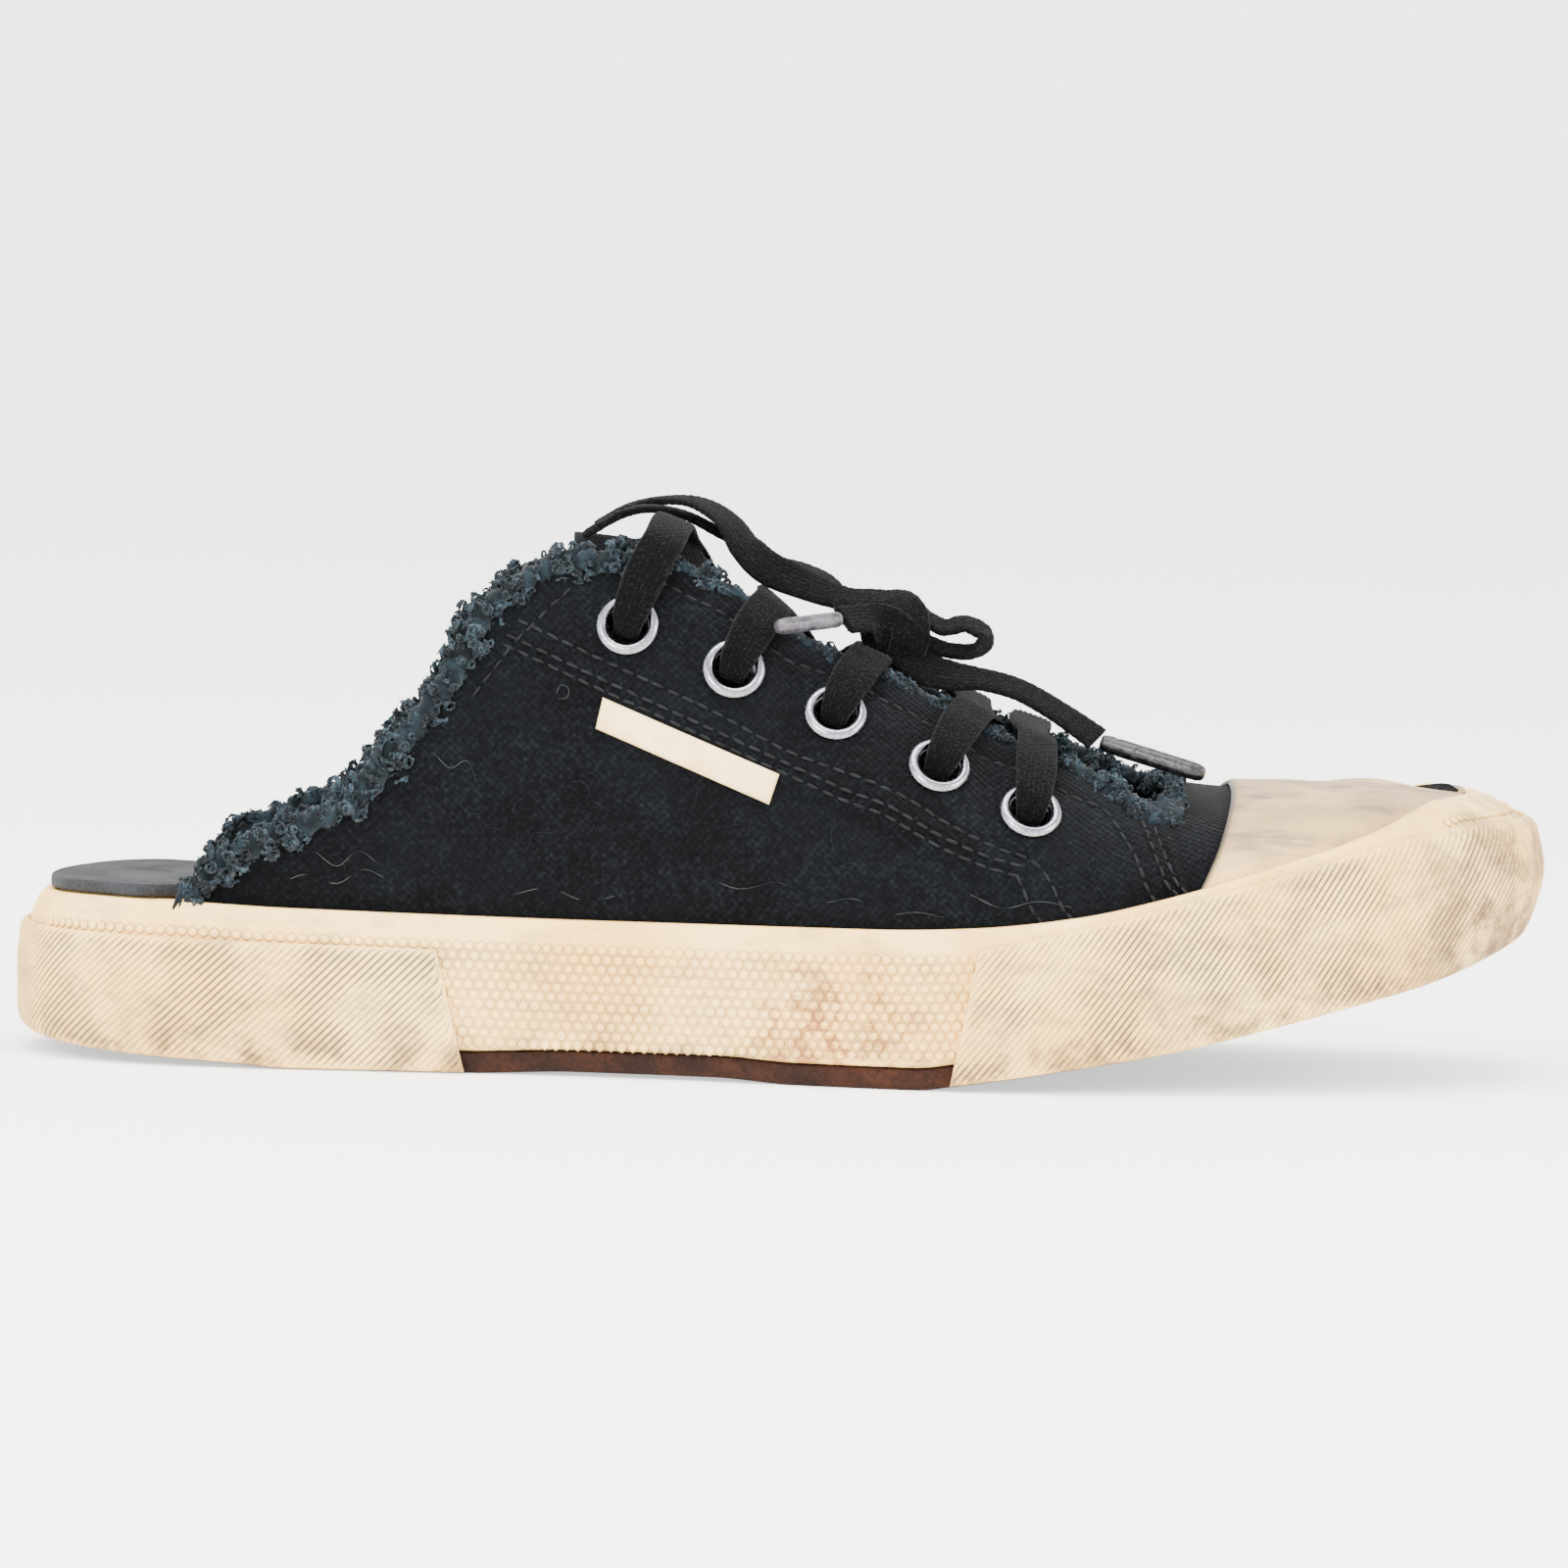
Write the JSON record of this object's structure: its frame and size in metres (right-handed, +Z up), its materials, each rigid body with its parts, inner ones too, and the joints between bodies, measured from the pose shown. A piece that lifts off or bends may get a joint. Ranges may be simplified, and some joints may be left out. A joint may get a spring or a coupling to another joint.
{
  "type": "backless canvas sneaker",
  "caption": "Worn right backless low sneaker: frayed canvas upper with laced throat, rubber toe cap, thick cream sidewall and brown outsole.",
  "frame": {"origin": "centre of the sole's plan box, on the floor that the sole stands on", "axes": "+X from heel to toe, +Y to the inner (medial) side, +Z up"},
  "size_m": [0.294, 0.1098, 0.1088],
  "materials": {
    "gum_rubber": "matt, worn",
    "cream_rubber": "matt, yellowed and grubby",
    "ribbed_rubber": "matt, ribbed and grubby",
    "cap_rubber": "matt, scuffed grey",
    "insole_board": "matt",
    "canvas": "worn plain weave, frayed at its edges",
    "tab_rubber": "satin",
    "eyelet_metal": "satin, rolled",
    "lace": "flat braid",
    "aglet_dark": "glossy",
    "aglet_clear": "glossy, smoky"
  },
  "bodies": {
    "root": {"outsole": "gum_rubber", "foxing": "cream_rubber", "heel_bumper": "ribbed_rubber", "toe_bumper": "ribbed_rubber", "insole": "insole_board", "upper": "canvas", "toe_cap": "cap_rubber", "tongue": "canvas", "label_tab": "tab_rubber", "eyelet_outer_1": "eyelet_metal", "eyelet_inner_1": "eyelet_metal", "eyelet_outer_2": "eyelet_metal", "eyelet_inner_2": "eyelet_metal", "eyelet_outer_3": "eyelet_metal", "eyelet_inner_3": "eyelet_metal", "eyelet_outer_4": "eyelet_metal", "eyelet_inner_4": "eyelet_metal", "eyelet_outer_5": "eyelet_metal", "eyelet_inner_5": "eyelet_metal", "lace_bar": "lace", "lace_cross_1": "lace", "lace_cross_2": "lace", "lace_cross_3": "lace", "lace_cross_4": "lace", "lead_outer": "lace", "lead_inner": "lace", "knot": "lace", "bow_loop": "lace", "end_long": "lace", "end_short": "lace", "aglet_long": "aglet_dark", "aglet_short": "aglet_clear"}
  },
  "joints": []
}
